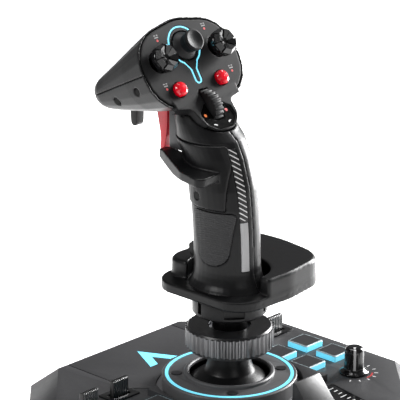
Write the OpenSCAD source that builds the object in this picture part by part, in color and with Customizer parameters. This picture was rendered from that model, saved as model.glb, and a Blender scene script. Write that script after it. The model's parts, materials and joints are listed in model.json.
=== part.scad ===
// Flight joystick: a grip on a two-axis gimbal, in a base with keys, toggles, knobs and a throttle.
// The origin is the centre of the base, on the surface that it stands on. +X is to the pilot's
// right, +Y is away from the pilot and +Z is up. Sizes are in millimetres, angles in degrees.

/* [Base] */
// Width of the base over its side walls
base_w = 224; // [220:1:228]
// Depth of the base over its side walls
base_d = 216; // [214:1:220]
// How far the sloping shoulder stands out past the edge of the deck
shoulder_out = 17; // [16:0.5:18]
// How far the shoulder drops below the deck
shoulder_drop = 14; // [13:0.5:15]
// Length cut from each side of the deck at its corners
deck_cut = 43; // [41:1:45]
// Thickness of the base covers
wall = 2.5; // [2.2:0.1:2.8]

/* [Stick] */
// Height of the plate around the stick
ring_z = 64; // [63.5:0.5:64.5]
// Outer radius of the locking nut
nut_r = 26; // [25:0.5:27]
// Number of ridges around the locking nut
nut_ridges = 44; // [36:2:60]
// Radius of the collar at the foot of the grip
collar_r = 21.9; // [21:0.1:22.5]

/* [Grip] */
// Lean of the thumb face from level
face_lean = 58; // [57.5:0.5:58.5]
// Half width of the handle
handle_a = 17.5; // [17:0.1:18]
// Half depth of the handle
handle_b = 21; // [20.5:0.1:21.5]
// Thickness of the grip's shells
grip_wall = 2.4; // [2.2:0.1:2.6]
// Height of the finger ledge at its palm end
ledge_z = 192.2; // [191.6:0.1:192.4]

/* [Controls] */
// Side of a square key
key_w = 15.5; // [15:0.1:15.8]
// Travel of a square key
key_travel = 1.5; // [1.2:0.1:1.6]
// Height of a toggle above the deck
toggle_h = 10.7; // [9:0.1:12]
// Height of a knob
knob_h = 16; // [15:0.1:17]
// Diameter of the scroll wheel
wheel_d = 22; // [21.4:0.1:22.4]

/* [Hidden] */

// Overlap that keeps cuts clean, running clearance on a radius, and room around what moves
cut = 0.1;
run = 0.05;
room = 0.35;
$fn = 48;

// Heights in the base
deck_z = ring_z - 8;
deck_t = 3.2;
shoulder_z = deck_z - shoulder_drop;
floor_z = 3;
floor_t = 3.5;
floor_top = floor_z + floor_t;
undercut = 9;
seam_z = 26;
lip_h = 4;
lip_t = 2;
lip_gap = 0.1;
island_h = 4;
board_z = 44;
board_t = 1.6;
board_top = board_z + board_t;

// Places on the deck: keys and toggles are numbered from the left, front row first
key_x = [52.5, 76.3];
key_y = [7.2, -15.5];
toggle_x = [55.5, 80];
toggle_y = 36;
knob_at = [64.5, -41.5];
island_x = 44.2;
island_y = [-38, 24];
cover_screws_at = [[95, 0], [-95, 0], [45, 92], [-45, 92], [45, -92], [-45, -92]];
standoffs_at = [[30, 80], [-30, 80], [88, -35], [-88, -35]];
feet_at = [70, 62];
insert_at = 50;
insert_r = 4;
insert_bore_r = 3;
insert_len = 10;

// Screws
screw_r = 1.5;
screw_head_r = 3;
pilot_r = 1.6;
boss_r = 5;

// Stick surround, gimbal and dome
pivot_z = 34;
dome_r = 35.5;
dome_t = 2.5;
dome_angle = 56;
bowl_r = 38.3;
mouth_r = 23.8;
lip_r = 26.7;
light_r = 36.9;
light_w = 1.9;
disc_r = 39.8;
groove_r = 43.4;
deck_hole_r = 42;
gimbal_r = 27;
gimbal_in_r = 21.5;
gimbal_h = 8;
axle_r = 3;
post_x = [33, 38];
frame_half = 40;
frame_screw_at = 35;
shaft_r = 8;
neck_r = 12;
nut_z = [80.9, 94.6];
thread_r = 18;
socket_r = 10;

// Grip
collar_z = 103;
plate_z = 114;
handle_z = 120;
tenon_r = 9;
palm_z = 130.5;
face_t = 3;
face_rim = 1.1;
tongue_skirt = 7;
face_off = 71;
cap_pivot = 5;
hat_at = [24, 176.3];
thumb_at = [0, 181.5];
button_at = [17.2, 157.7];
button_r = 4.3;
button_travel = 1.5;
wheel_v = 143.5;
wheel_depth = 3.5;
wheel_w = 6.6;
pin_r = 1.5;
small_pin_r = 1;

// Levers, as [y, z] of their axles
trigger_axle = [46, 224];
flip_axle = [74.5, 220];
pinky_axle = [18.5, 140];
throttle_axle = [-66, 30];
drum_r = 30;
throttle_w = 21.4;

// ---- Shapes that several parts share ----

function unit(v) = v / norm(v);

// The points of a rounded corner at b, between the sides towards a and c
function corner(a, b, c, r, n) =
    let (u = unit(a - b))
    let (v = unit(c - b))
    let (half = acos(u * v) / 2)
    let (centre = b + unit(u + v) * r / sin(half))
    let (start = b + u * r / tan(half) - centre)
    let (turn = cross(b - a, c - b) > 0 ? 1 : -1)
    [for (i = [0:n])
        let (t = atan2(start.y, start.x) + turn * (180 - 2 * half) * i / n)
        centre + r * [cos(t), sin(t)]];

// A polygon with rounded corners: each entry of pts is [x, y, radius]
function rounded(pts, n = 5) =
    let (m = len(pts))
    let (p = [for (q = pts) [q.x, q.y]])
    [for (i = [0:m - 1]) each corner(p[(i + m - 1) % m], p[i], p[(i + 1) % m], pts[i].z, n)];

function mirrored(pts) = [for (i = [len(pts) - 1:-1:0]) [-pts[i].x, pts[i].y, pts[i].z]];

function at_z(pts, z) = [for (p = pts) [p.x, p.y, z]];

// A solid through a stack of rings with equal counts of points, lowest ring first
module loft(rings) {
    n = len(rings[0]);
    m = len(rings);
    sides = [for (k = [0:m - 2]) for (i = [0:n - 1])
        let (a = k * n + i)
        let (b = k * n + (i + 1) % n)
        each [[a, a + n, b + n], [a, b + n, b]]];
    bottom = [for (i = [0:n - 1]) i];
    top = [for (i = [n - 1:-1:0]) (m - 1) * n + i];
    polyhedron([for (r = rings) each r], concat([bottom], sides, [top]));
}

// An outline drawn as [y, z] and extruded from x0 to x1
module side_profile(x0, x1) {
    translate([x0, 0, 0])
        rotate([90, 0, 90])
            linear_extrude(x1 - x0)
                children();
}

// A round bar along X, from x0 to x1, about the point [y, z]
module x_bar(at, r, x0, x1) {
    translate([x0, at.x, at.y])
        rotate([0, 90, 0])
            cylinder(r = r, h = x1 - x0);
}

module both_sides() {
    children();
    mirror([1, 0, 0])
        children();
}

module box(x, y, z) {
    translate([x[0], y[0], z[0]])
        cube([x[1] - x[0], y[1] - y[0], z[1] - z[0]]);
}

function octagon(w, d, c) = [
    [w, -d + c], [w, d - c], [w - c, d], [-w + c, d], [-w, d - c], [-w, -d + c], [-w + c, -d], [w - c, -d]
];

// The base's outline, a given distance outside the edge of the deck
function base_plan(out) = octagon(
    base_w / 2 - shoulder_out + out,
    base_d / 2 - shoulder_out + out,
    deck_cut + out * (2 - sqrt(2))
);
function base_ring(out, z) = at_z(base_plan(out), z);

// A ring of ridges for a knurl or a ribbed wheel
function ridged(r, depth, n) = [for (i = [0:n - 1]) for (k = [0:3])
    let (t = (i + k / 4) * 360 / n)
    (k == 1 || k == 2 ? r : r - depth) * [cos(t), sin(t)]];

// The frame of the thumb face: x to the right, y up the face, z out of it
module on_face() {
    translate([0, 0, ring_z])
        rotate([face_lean, 0, 0])
            translate([0, 0, face_off])
                children();
}

// ---- Base ----

module top_cover() {
    in = shoulder_out - wall;
    in_z = deck_z - deck_t - shoulder_drop * in / shoulder_out;
    color("#2b2d30")
    difference() {
        union() {
            difference() {
                loft([base_ring(shoulder_out, seam_z), base_ring(shoulder_out, shoulder_z), base_ring(0, deck_z)]);
                loft([base_ring(in, seam_z - cut), base_ring(in, in_z), base_ring(0, deck_z - deck_t)]);
            }
            box([-island_x, island_x], island_y, [deck_z - 1, deck_z + island_h]);
            for (p = cover_screws_at)
                translate([p.x, p.y, floor_top + 10])
                    cylinder(r = boss_r, h = deck_z - 6 - floor_top - 10);
            for (p = standoffs_at)
                translate([p.x, p.y, board_top])
                    cylinder(r = 3.5, h = deck_z - deck_t - board_top + cut);
            throttle_ears();
        }
        translate([0, 0, deck_z - 1.5])
            cylinder(r = groove_r, h = 20);
        translate([0, 0, deck_z - 10])
            cylinder(r = deck_hole_r, h = 20);
        for (x = key_x, y = key_y)
            both_sides()
                key_well(x, y);
        for (x = toggle_x)
            both_sides()
                box([x - 8.5, x + 8.5], [toggle_y - 5.5, toggle_y + 5.5], [deck_z - 5, deck_z + cut]);
        both_sides()
            translate([knob_at.x, knob_at.y, deck_z - 5])
                cylinder(r = 4.5, h = 6);
        x_bar(throttle_axle, drum_r + room + cut, -throttle_w / 2 - room, throttle_w / 2 + room);
        both_sides()
            translate([0, 0, deck_z - 1.5])
                linear_extrude(2)
                    scale_outline(0);
        translate([0, 0, deck_z - 2])
            linear_extrude(3)
                emblem_outline();
        both_sides()
            panel_seam();
        for (p = cover_screws_at)
            translate([p.x, p.y, floor_top + 9])
                cylinder(r = pilot_r, h = 16);
        box([-6.4, 6.4], [base_d / 2 - 6, base_d / 2 + 1], [30.2, 41.8]);
        both_sides()
            x_bar(throttle_axle, axle_r + run, throttle_w / 2, throttle_w / 2 + 6);
    }
}

module key_well(x, y) {
    half = key_w / 2 + room;
    box([x - half, x + half], [y - half, y + half], [deck_z - 5, deck_z + 5]);
}

module throttle_ears() {
    x0 = throttle_w / 2 + room + 0.1;
    both_sides() {
        box([x0, x0 + 3], [throttle_axle.x - 6, throttle_axle.x + 6], [throttle_axle.y, deck_z - deck_t + cut]);
        x_bar(throttle_axle, 6, x0, x0 + 3);
    }
}

// The thin seam around the front centre panel
module panel_seam() {
    w = 0.8;
    translate([0, 0, deck_z - w])
        linear_extrude(2)
            polygon([[44, base_d / 2 - shoulder_out + 1], [44, 39], [32, 27],
                [32 + w, 27 - w], [44 + w, 39 - w / 2], [44 + w, base_d / 2 - shoulder_out + 1]]);
}

module scale_outline(inset) {
    polygon(rounded([[14 + inset, -44 - inset, 1.5], [14 + inset, -84 + inset, 1.5],
        [37 - inset, -74 + inset, 1.5], [43 - inset, -43 - inset, 1.5]]));
}

module emblem_outline() {
    polygon([[-12.5, 52.5], [-1, 75], [10.5, 52.5], [4.5, 52.5], [-1, 63], [-6.5, 52.5]]);
}

module bottom_cover() {
    out = shoulder_out - undercut;
    in = shoulder_out - wall;
    lip_out = in - lip_gap;
    color("#1b1c1e")
    difference() {
        union() {
            difference() {
                loft([base_ring(out, floor_z), base_ring(shoulder_out, floor_z + undercut), base_ring(shoulder_out, seam_z)]);
                loft([base_ring(out, floor_top), base_ring(in, floor_top + in - out), base_ring(in, seam_z + cut)]);
            }
            difference() {
                loft([base_ring(in + cut, seam_z - 3), base_ring(in + cut, seam_z - 0.5), base_ring(lip_out, seam_z - 0.4),
                    base_ring(lip_out, seam_z + lip_h)]);
                loft([base_ring(lip_out - lip_t, seam_z - 4), base_ring(lip_out - lip_t, seam_z + lip_h + cut)]);
            }
            for (p = cover_screws_at)
                translate([p.x, p.y, floor_z])
                    cylinder(r = boss_r, h = floor_t + 10);
            insert_places()
                cylinder(r = 8, h = insert_len + 3);
        }
        for (p = cover_screws_at)
            translate([p.x, p.y, floor_z - cut]) {
                cylinder(r = screw_head_r + 0.4, h = 3 + cut);
                cylinder(r = pilot_r, h = 15);
            }
        insert_places()
            translate([0, 0, -cut])
                cylinder(r = insert_r + run, h = insert_len + 2 * cut);
        for (x = [-1, 1] * frame_screw_at, y = [-1, 1] * frame_screw_at)
            translate([x, y, floor_z + 1.2])
                cylinder(r = pilot_r, h = 4);
    }
}

module insert_places() {
    for (x = [-insert_at, insert_at], y = [-insert_at, insert_at])
        translate([x, y, floor_z])
            children();
}

module rubber_feet() {
    color("#141414")
    for (x = [-1, 1] * feet_at.x, y = [-1, 1] * feet_at.y)
        translate([x, y, 0])
            rotate_extrude()
                polygon([[0, 0], [11.2, 0], [12, 0.8], [12, floor_z], [0, floor_z]]);
}

module base_screw(length) {
    cylinder(r = screw_head_r, h = 2.4);
    cylinder(r = screw_r, h = length);
}

module base_screws() {
    color("#8c8f94") {
        for (p = cover_screws_at)
            translate([p.x, p.y, floor_z + 0.6])
                base_screw(20);
        for (x = [-1, 1] * frame_screw_at, y = [-1, 1] * frame_screw_at)
            translate([x, y, floor_top + 5.4])
                rotate([180, 0, 0])
                    base_screw(7);
        for (a = [136, 226, 324, 46])
            rotate(a)
                translate([31, 0, ring_z + 0.4])
                    rotate([180, 0, 0])
                        base_screw(6.5);
    }
}

module mount_inserts() {
    color("#b5a045")
    insert_places()
        difference() {
            cylinder(r = insert_r, h = insert_len);
            translate([0, 0, -cut])
                cylinder(r = insert_bore_r, h = insert_len + 2 * cut);
        }
}

module usb_socket() {
    color("#9a9da1")
    difference() {
        union() {
            box([-6, 6], [90, base_d / 2 - 0.6], [30.5, 41.5]);
            box([-5, 5], [90, 96], [41, board_z]);
        }
        box([-4.2, 4.2], [base_d / 2 - 9, base_d / 2], [32.2, 39.8]);
    }
}

// Plate around the stick, hollowed to a bowl over the dome
module stick_surround() {
    g = light_w / 2 + 0.05;
    color("#54575b")
    difference() {
        rotate_extrude()
            polygon([[mouth_r, ring_z - 14], [disc_r, ring_z - 14], [disc_r, deck_z - 1.4], [groove_r - 0.3, deck_z - 1.4],
                [groove_r - 0.3, deck_z - 0.7], [disc_r, deck_z - 0.7], [disc_r, ring_z - 0.6],
                [disc_r - 0.6, ring_z], [light_r + g, ring_z], [light_r + g, ring_z - 2],
                [light_r - g, ring_z - 2], [light_r - g, ring_z], [lip_r, ring_z],
                [lip_r, ring_z + 1.4], [lip_r - 0.8, ring_z + 2], [mouth_r + 0.8, ring_z + 2],
                [mouth_r, ring_z + 1.4]]);
        translate([0, 0, pivot_z])
            sphere(r = bowl_r);
        for (a = [136, 226, 324, 46])
            rotate(a)
                translate([31, 0, ring_z - 10]) {
                    cylinder(r = pilot_r, h = 11);
                    translate([0, 0, 7.9])
                        cylinder(r = screw_head_r + 0.3, h = 4);
                }
    }
}

module light_guides() {
    color("#35c9ea") {
        translate([0, 0, ring_z - 1.9])
            difference() {
                cylinder(r = light_r + light_w / 2, h = 2.1);
                translate([0, 0, -cut])
                    cylinder(r = light_r - light_w / 2, h = 2.1 + 2 * cut);
            }
        translate([0, 0, deck_z - 1.9])
            linear_extrude(2)
                emblem_outline();
    }
}

// Frames under the toggles, with a box and two bores below the deck
module toggle_frames() {
    color("#101112")
    for (x = toggle_x)
        both_sides()
            translate([x, toggle_y, 0])
                difference() {
                    union() {
                        box([-10, 10], [-7, 7], [deck_z, deck_z + 1]);
                        box([-8.3, 8.3], [-5.3, 5.3], [board_top, deck_z + cut]);
                    }
                    box([-6.5, 6.5], [-3.6, 3.6], [board_top + 1, deck_z + 2]);
                    x_bar([0, deck_z - 5], pin_r + run, -9, 9);
                }
}

module toggle(x) {
    color("#0d0d0e")
    translate([x, toggle_y, 0]) {
        side_profile(-6, 6)
            polygon([[-2, deck_z - 7], [2, deck_z - 7], [2, deck_z - 2], [1.6, deck_z + 1], [1.6, deck_z + toggle_h - 0.6],
                [1, deck_z + toggle_h], [-1, deck_z + toggle_h], [-1.6, deck_z + toggle_h - 0.6], [-1.6, deck_z + 1],
                [-2, deck_z - 2]]);
        x_bar([0, deck_z - 5], pin_r, -8, 8);
    }
}
module toggle_1() toggle(-toggle_x[1]);
module toggle_2() toggle(-toggle_x[0]);
module toggle_3() toggle(toggle_x[0]);
module toggle_4() toggle(toggle_x[1]);

module key(x, y) {
    half = key_w / 2;
    top = deck_z + 3.6;
    flange_z = deck_z - deck_t - 0.3;
    color("#1a1b1d")
    translate([x, y, 0]) {
        loft([at_z(rounded([[-half, -half, 1], [half, -half, 1], [half, half, 1], [-half, half, 1]], 3), flange_z - 2.5),
            at_z(rounded([[-half, -half, 1], [half, -half, 1], [half, half, 1], [-half, half, 1]], 3), top - 0.5),
            at_z(rounded([[-half + 0.5, -half + 0.5, 1], [half - 0.5, -half + 0.5, 1], [half - 0.5, half - 0.5, 1],
                [-half + 0.5, half - 0.5, 1]], 3), top)]);
        box([-half - 1, half + 1], [-half - 1, half + 1], [flange_z - 1.2, flange_z]);
    }
}
module key_1() key(-key_x[1], key_y[0]);
module key_2() key(-key_x[0], key_y[0]);
module key_3() key(-key_x[1], key_y[1]);
module key_4() key(-key_x[0], key_y[1]);
module key_5() key(key_x[0], key_y[0]);
module key_6() key(key_x[1], key_y[0]);
module key_7() key(key_x[0], key_y[1]);
module key_8() key(key_x[1], key_y[1]);

module main_board() {
    color("#1f6b3a") {
        difference() {
            translate([0, 0, board_z])
                linear_extrude(board_t)
                    polygon(base_plan(4));
            translate([0, 0, board_z - 1])
                cylinder(r = 43, h = 4);
            box([-17, 17], [-110, -30], [board_z - 1, board_top + 1]);
            for (p = cover_screws_at)
                translate([p.x, p.y, board_z - 1])
                    cylinder(r = boss_r + 1, h = 4);
        }
    }
    color("#2a2a2a")
    for (x = key_x, y = key_y)
        both_sides()
            box([x - 3, x + 3], [y - 3, y + 3], [board_top - 0.2, deck_z - deck_t - 0.3 - 2.5 - key_travel - 0.3]);
}

module scale_panels() {
    color("#08090a")
    both_sides()
        translate([0, 0, deck_z - 1.4])
            linear_extrude(1)
                scale_outline(0.1);
}

module knob_pots() {
    color("#3a5a8c")
    both_sides()
        translate([knob_at.x, knob_at.y, 0])
            difference() {
                union() {
                    box([-7, 7], [-7, 7], [board_top, deck_z - deck_t - 1]);
                    translate([0, 0, board_top])
                        cylinder(r = 4.3, h = deck_z - board_top);
                }
                translate([0, 0, board_top + 1])
                    cylinder(r = axle_r + run, h = 20);
            }
}

module knob(side) {
    foot = deck_z + 0.4;
    color("#17181a")
    translate([side * knob_at.x, knob_at.y, 0]) {
        rotate_extrude()
            polygon([[0, foot], [8.8, foot], [8.8, foot + 0.8], [6.6, foot + 2.2], [6, foot + 3], [5.7, foot + knob_h - 1.6],
                [5, foot + knob_h - 0.4], [4.2, foot + knob_h], [0, foot + knob_h]]);
        translate([0, 0, board_top + 1.5])
            cylinder(r = axle_r, h = foot - board_top);
    }
}
module knob_left() knob(-1);
module knob_right() knob(1);

// A drum that fills its slot at every angle, with a wedge on it for the thumb
module throttle_lever() {
    half = throttle_w / 2;
    y = throttle_axle.x;
    z = throttle_axle.y;
    color("#3a3c3f") {
        difference() {
            x_bar(throttle_axle, drum_r, -half, half);
            x_bar(throttle_axle, drum_r - wall, -half + wall, half - wall);
            side_profile(-half - 1, half + 1)
                polygon([[y + 8, z - 40], [y + 8, z + 6], [y + 50, z + 36], [y + 50, z - 40]]);
            side_profile(-half - 1, half + 1)
                polygon([[y - 8, z - 40], [y - 8, z + 6], [y - 50, z + 36], [y - 50, z - 40]]);
            box([-half - 1, half + 1], [y - 40, y + 40], [z - 40, z - 7]);
        }
        side_profile(-half, half)
            polygon([[y - 7, z + 28.5], [y - 7, z + 31], [y - 6, z + 34], [y, z + 41], [y + 5.2, z + 47.4],
                [y + 6.4, z + 48], [y + 7.6, z + 47], [y + 7.8, z + 36], [y + 7, z + 31], [y + 7, z + 28.5]]);
        x_bar(throttle_axle, axle_r, -half - 3, half + 3);
    }
}

// ---- Gimbal and stick ----

module gimbal_frame() {
    color("#6d7176")
    difference() {
        union() {
            box([-1, 1] * frame_half, [-1, 1] * frame_half, [floor_top, floor_top + 3]);
            both_sides() {
                box(post_x, [-5.5, 5.5], [floor_top + 2, pivot_z]);
                x_bar([0, pivot_z], 5.5, post_x[0], post_x[1]);
            }
        }
        both_sides()
            x_bar([0, pivot_z], axle_r + run, post_x[0] - 1, post_x[1] + 1);
        for (x = [-1, 1] * frame_screw_at, y = [-1, 1] * frame_screw_at)
            translate([x, y, floor_top - 1])
                cylinder(r = pilot_r, h = 5);
    }
}

// A closely wound torsion spring along X about the pivot, with one leg up and one leg down
module torsion_spring(x0, turns) {
    wire = 0.8;
    mean_r = 4.2;
    translate([x0, 0, pivot_z])
        rotate([0, 90, 0])
            rotate_extrude()
                polygon(concat(
                    [for (i = [0:turns * 4]) [mean_r + wire - 0.25 * (1 - cos(i * 90)), i * wire / 2]],
                    [[mean_r - wire, turns * wire * 2], [mean_r - wire, 0]]));
    for (s = [-1, 1])
        translate([x0 + turns * wire + s * (turns - 1) * wire, s * mean_r, pivot_z])
            rotate([s > 0 ? 0 : 180, 0, 0])
                cylinder(r = wire * 0.9, h = 8);
}

module pitch_springs() {
    color("#b9bdc2")
    both_sides()
        torsion_spring(27.8, 3);
}

module gimbal_ring() {
    color("#8a8e93")
    difference() {
        union() {
            translate([0, 0, pivot_z - gimbal_h / 2])
                difference() {
                    cylinder(r = gimbal_r, h = gimbal_h);
                    translate([0, 0, -cut])
                        cylinder(r = gimbal_in_r, h = gimbal_h + 2 * cut);
                }
            both_sides()
                x_bar([0, pivot_z], axle_r, gimbal_r - 2, post_x[1] - 0.5);
        }
        translate([0, gimbal_r + 1, pivot_z])
            rotate([90, 0, 0])
                cylinder(r = axle_r + run, h = 2 * gimbal_r + 2);
    }
}

module roll_springs() {
    color("#b9bdc2")
    for (a = [90, 270])
        rotate(a)
            torsion_spring(14.5, 3);
}

module stick_shaft() {
    color("#7b7f84")
    difference() {
        union() {
            translate([0, 0, pivot_z - 12])
                cylinder(r = shaft_r, h = nut_z[0] + 1 - pivot_z + 12);
            translate([0, 11, pivot_z])
                rotate([90, 0, 0])
                    cylinder(r = 9, h = 22);
            translate([0, gimbal_r - 0.5, pivot_z])
                rotate([90, 0, 0])
                    cylinder(r = axle_r, h = 2 * gimbal_r - 1);
            translate([0, 0, nut_z[0] + 0.6])
                cylinder(r = thread_r, h = 11);
        }
        translate([0, 0, nut_z[0] + 3.4])
            cylinder(r = socket_r + run, h = 20);
    }
}

// A cap of a sphere about the pivot, flowing up into a round neck
module dome_cover() {
    r_in = dome_r - dome_t;
    neck_foot = 15;
    neck_foot_z = pivot_z + sqrt(dome_r * dome_r - neck_foot * neck_foot);
    foot_angle = asin(neck_foot / dome_r);
    neck_top = nut_z[0] - 0.3;
    color("#1d1e20")
    rotate_extrude()
        polygon(concat(
            [for (i = [0:8]) let (t = dome_angle - i * 4.8) [r_in * sin(t), pivot_z + r_in * cos(t)]],
            [[shaft_r + run, pivot_z + sqrt(r_in * r_in - 70)], [shaft_r + run, neck_top], [neck_r, neck_top]],
            [for (i = [6:-1:1]) let (t = i / 6)
                [neck_r + (neck_foot - neck_r) * pow(1 - t, 2.2), neck_foot_z + (neck_top - 3 - neck_foot_z) * t]],
            [for (i = [0:5]) let (t = foot_angle + i * (dome_angle - foot_angle) / 5) [dome_r * sin(t), pivot_z + dome_r * cos(t)]]));
}

module locking_nut() {
    color("#8f9296")
    difference() {
        union() {
            translate([0, 0, nut_z[0]])
                cylinder(r = nut_r - 1.6, h = 2);
            translate([0, 0, nut_z[0] + 1.6])
                linear_extrude(nut_z[1] - nut_z[0] - 2.6)
                    polygon(ridged(nut_r, 1.2, nut_ridges));
            translate([0, 0, nut_z[1] - 1.1])
                rotate_extrude()
                    polygon([[0, 0], [nut_r - 0.9, 0], [nut_r - 1.8, 1.1], [0, 1.1]]);
        }
        translate([0, 0, nut_z[0] - 1])
            cylinder(r = thread_r + run, h = nut_z[1] - nut_z[0] - 0.6);
        translate([0, 0, nut_z[0]])
            cylinder(r = 12.5, h = 20);
    }
}

// ---- Grip ----

module grip_foot() {
    color("#161719")
    difference() {
        union() {
            translate([0, 0, nut_z[0] + 3.6])
                cylinder(r = socket_r, h = collar_z - nut_z[0] - 3);
            translate([0, 0, collar_z])
                rotate_extrude()
                    polygon([[0, 0], [collar_r - 1.2, 0], [collar_r, 1.2], [collar_r, plate_z - collar_z],
                        [tenon_r, plate_z - collar_z], [tenon_r, plate_z - collar_z + 10], [0, plate_z - collar_z + 10]]);
        }
        for (i = [0:5])
            rotate(i * 60 + 50)
                box([collar_r - 2.2, collar_r + 1], i % 2 == 0 ? [-1.6, 1.6] : [-6, 6], [collar_z + 2.6, plate_z - 1.6]);
        translate([0, 0, nut_z[0]])
            cylinder(r = 5, h = 60);
    }
}

hand_rest_pts = [[-25, -31, 17], [18, -32.5, 40], [52.5, -27.5, 20], [57.5, 8, 30], [55.5, 41, 18], [-25, 40, 16]];
palm_pts = [
    [-1.5, -31.7, 1.5], [18, -32.2, 40], [52.2, -27.2, 20], [57.2, 8, 30], [55.2, 40.7, 18],
    [-13, 39.7, 10], [-13, 22, 5], [-1.5, 18, 1]
];

// The same outline, drawn in towards the middle of the plate
function drawn_in(pts, k) = [for (p = pts) [18 + (p.x - 18) * k, 4 + (p.y - 4) * k, p.z]];

module hand_rest() {
    groove_z = plate_z + 2.6;
    rim = 1.2;
    color("#1d1e20")
    difference() {
        union() {
            translate([0, 0, plate_z])
                linear_extrude(groove_z - plate_z)
                    polygon(rounded(hand_rest_pts, 8));
            translate([0, 0, groove_z - cut])
                linear_extrude(1)
                    polygon(rounded(drawn_in(hand_rest_pts, 0.98), 8));
            translate([0, 0, groove_z + 0.6])
                linear_extrude(handle_z - groove_z - 0.6)
                    polygon(rounded(hand_rest_pts, 8));
            difference() {
                union() {
                    translate([0, 0, handle_z - cut])
                        linear_extrude(palm_z - handle_z - rim + cut)
                            polygon(rounded(palm_pts, 8));
                    translate([0, 0, palm_z - rim - cut])
                        linear_extrude(rim + cut)
                            polygon(rounded(drawn_in(palm_pts, 0.97), 8));
                }
                loft([handle_ring(120, 0.3, handle_z), handle_ring(120, 0.3, palm_z + 1)]);
            }
        }
        translate([0, 0, plate_z - 1])
            cylinder(r = tenon_r + run, h = 20);
    }
}

// Centre line, half depth and half width of the handle by height
handle_line = [[120, 1], [133, 2], [151, 2.4], [169, 4], [180, 5.3], [197, 10], [207, 15.3], [216, 20], [228, 25]];
handle_depth = [
    [120, handle_b + 4.5], [121.5, handle_b + 2.9], [124, handle_b + 1.4], [128, handle_b + 0.4], [131, handle_b],
    [207, handle_b], [211, handle_b - 3], [216, handle_b - 5], [228, handle_b - 10]
];
handle_width = [
    [120, handle_a + 4.5], [121.5, handle_a + 2.9], [124, handle_a + 1.4], [128, handle_a + 0.4], [131, handle_a],
    [200, handle_a], [208, handle_a + 0.8], [214, handle_a + 0.9], [228, handle_a - 1.5]
];
handle_levels = [120, 121.5, 124, 128, 131, 142, 155, 169, 180, 189, 198, 207, 211, 216, 222, 228];

// The handle's section at a height z, drawn at another height when one is given
function handle_ring(z, grow, at = undef) = [for (i = [0:35]) [
    (lookup(z, handle_width) + grow) * cos(i * 10),
    lookup(z, handle_line) + (lookup(z, handle_depth) + grow) * sin(i * 10),
    is_undef(at) ? z : at
]];

module handle_solid(grow) {
    loft([for (z = handle_levels) handle_ring(z, grow)]);
}

// What the finger module, the pad and the strip take out of the handle's surface
module module_region() {
    box([-40, -8.2], [-9, 40], [169, 206]);
}

module pad_region() {
    side_profile(-40, -2)
        polygon(rounded([[-14, 167.5, 2], [-11, 136, 9], [8, 136, 9], [13, 167.5, 2]]));
}

module strip_region() {
    box([-8, -3.6], [-40, 0], [133, 204]);
}

// Room for the scroll wheel in the shells
module wheel_room() {
    on_face()
        translate([0, wheel_v, -wheel_depth])
            rotate([0, 90, 0])
                cylinder(r = wheel_d / 2 + 0.6, h = wheel_w + 1, center = true);
}

module handle_shell() {
    difference() {
        handle_solid(0);
        handle_solid(-grip_wall);
        on_face() {
            tongue(0.15);
            head_solid(0);
        }
        intersection() {
            difference() {
                handle_solid(3);
                handle_solid(-1.2);
            }
            union() {
                module_region();
                pad_region();
            }
        }
        intersection() {
            difference() {
                handle_solid(3);
                handle_solid(-0.7);
            }
            strip_region();
        }
        box([-6.4, 6.4], [10, 40], [131, 142.2]);
        wheel_room();
    }
}

module pinky_ear(side) {
    intersection() {
        scale([side, 1, 1])
            box([6.6, 8.6], [14, 30], [136, 143]);
        handle_solid(-grip_wall + cut);
    }
}

module handle_left() {
    color("#232426")
    difference() {
        union() {
            intersection() {
                handle_shell();
                box([-40, 0], [-40, 60], [100, 240]);
            }
            pinky_ear(-1);
        }
        x_bar([9.5, 175.5], 1.3, -20, -5);
        x_bar(pinky_axle, 1.25 + run, -9, 9);
    }
}

module handle_right() {
    color("#232426")
    difference() {
        union() {
            intersection() {
                handle_shell();
                box([0, 40], [-40, 60], [100, 240]);
            }
            pinky_ear(1);
        }
        x_bar(pinky_axle, 1.25 + run, -9, 9);
    }
}

module side_module() {
    color("#2a2b2e")
    difference() {
        union() {
            intersection() {
                difference() {
                    handle_solid(0.9);
                    handle_solid(-1.1);
                }
                box([-40, -8.3], [-8.9, 40], [169.1, 205.9]);
            }
            difference() {
                intersection() {
                    translate([0, 0, ledge_z - 10])
                        linear_extrude(20)
                            polygon(rounded([[-33.5, -7.5, 4], [-10, -5, 1], [-8.3, 38, 1.5], [-8.3, 43.5, 2], [-14, 43.5, 3.5],
                                [-19, 33.5, 8], [-28.9, 12, 20]]));
                    side_profile(-40, 0)
                        polygon(rounded([[-8, ledge_z - 5.6, 2], [-8, ledge_z - 0.4, 1.5], [12, ledge_z, 8],
                            [36, ledge_z + 4.4, 6], [43.5, ledge_z + 3.6, 2], [43.5, ledge_z - 1, 2], [22, ledge_z - 5.6, 8]]));
                }
                handle_solid(-1.1);
                box([-8.3, 10], [-10, 32], [180, 200]);
            }
        }
        x_bar([9.5, 175.5], 2.4, -22, -10);
    }
}

module grip_pad() {
    color("#2f3134")
    intersection() {
        difference() {
            handle_solid(0.5);
            handle_solid(-1.1);
        }
        side_profile(-40, -2.1)
            polygon(rounded([[-13.9, 167.4, 2], [-10.9, 136.1, 9], [7.9, 136.1, 9], [12.9, 167.4, 2]]));
    }
}

module back_strip() {
    color("#a9abae")
    intersection() {
        difference() {
            handle_solid(0.15);
            handle_solid(-0.65);
        }
        box([-7.9, -3.7], [-40, -1], [133.1, 203.9]);
    }
}

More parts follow.
